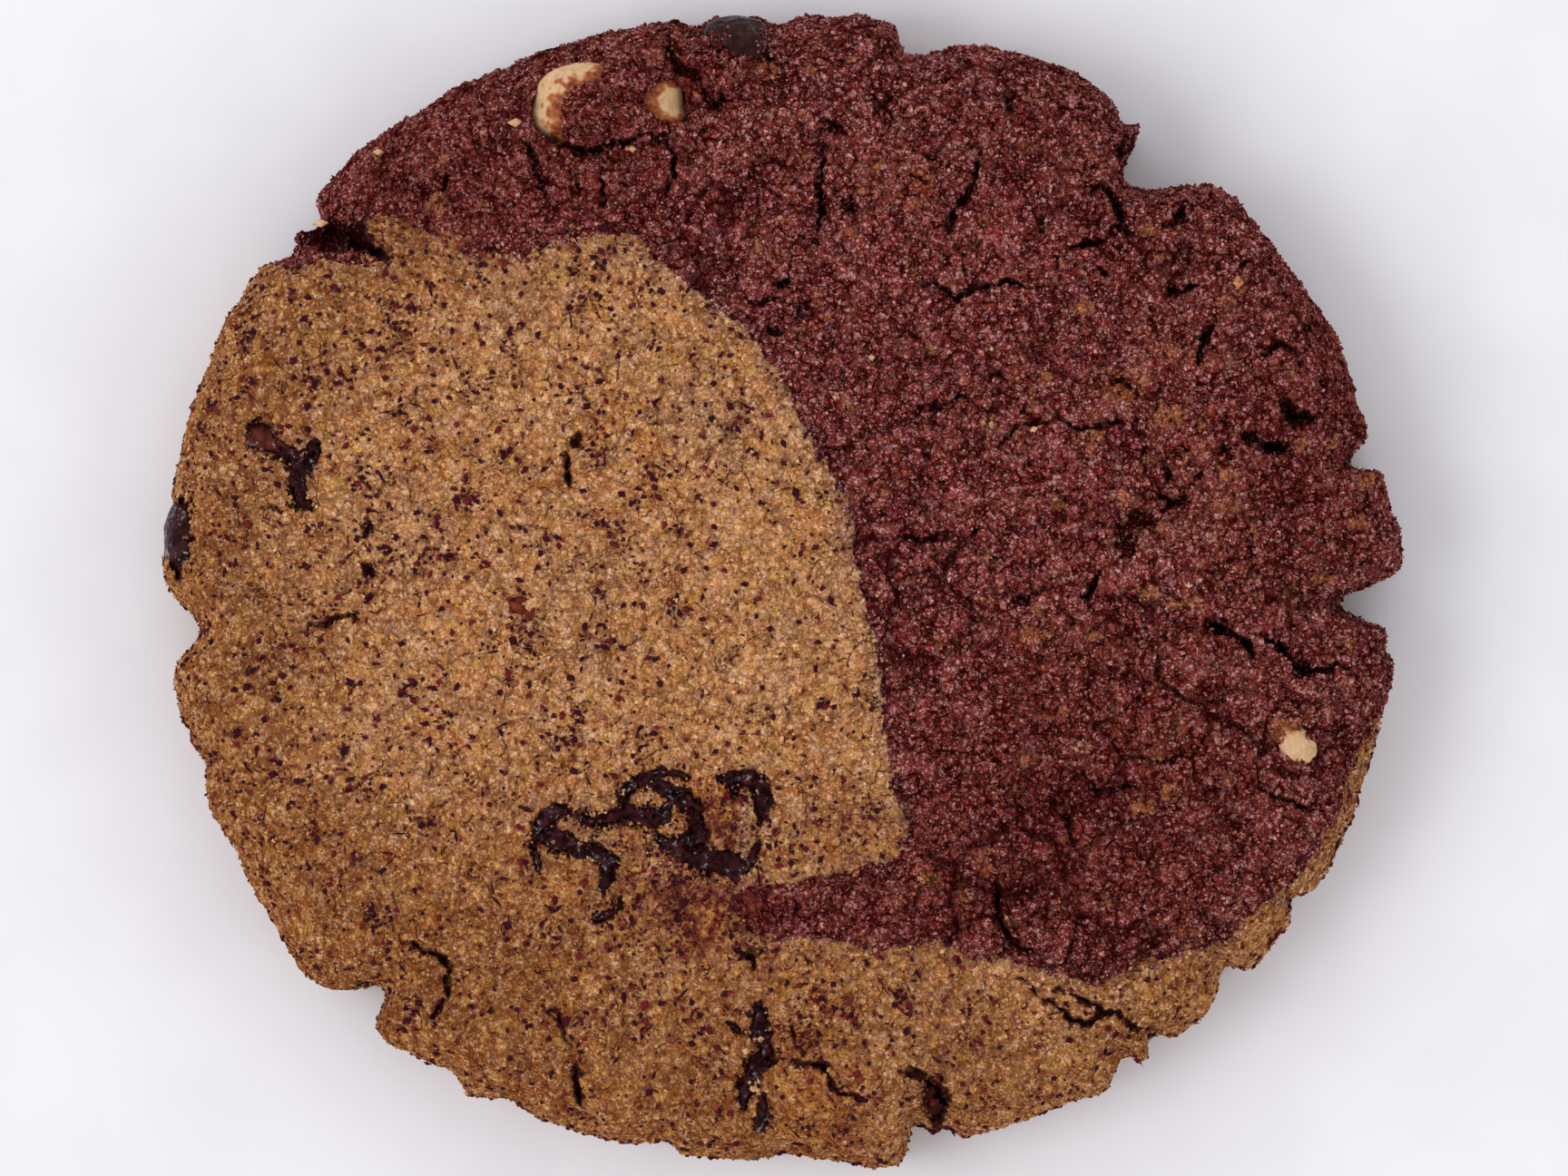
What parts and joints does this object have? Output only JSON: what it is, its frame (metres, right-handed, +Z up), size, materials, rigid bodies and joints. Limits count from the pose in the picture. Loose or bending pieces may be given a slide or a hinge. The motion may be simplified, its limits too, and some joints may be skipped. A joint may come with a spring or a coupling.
{
  "type": "cookie",
  "caption": "Round crumbly cookie of pale hazelnut dough and dark chocolate dough side by side, set with a hazelnut half and melted chocolate, lying flat.",
  "frame": {"origin": "middle of the flat underside, at the centre of the bounding box's base", "axes": "+Z up through the thickness, +X along the longest width with the chocolate dough on that side, +Y towards the edge with the hazelnut half"},
  "size_m": [0.0852, 0.0794, 0.0114],
  "materials": {
    "hazelnut_dough": "sandy, matt",
    "chocolate_dough": "sandy, matt",
    "nut": "smooth, slightly oily",
    "chocolate": "glossy, melted"
  },
  "bodies": {
    "root": {"hazelnut_dough": "hazelnut_dough", "chocolate_dough": "chocolate_dough", "hazelnut_half": "nut", "hazelnut_chip": "nut", "chocolate_chip_left_rim": "chocolate", "chocolate_chunk_top_rim": "chocolate", "chocolate_melt_left": "chocolate", "chocolate_melt_swirl": "chocolate", "chocolate_melt_lower": "chocolate"}
  },
  "joints": []
}
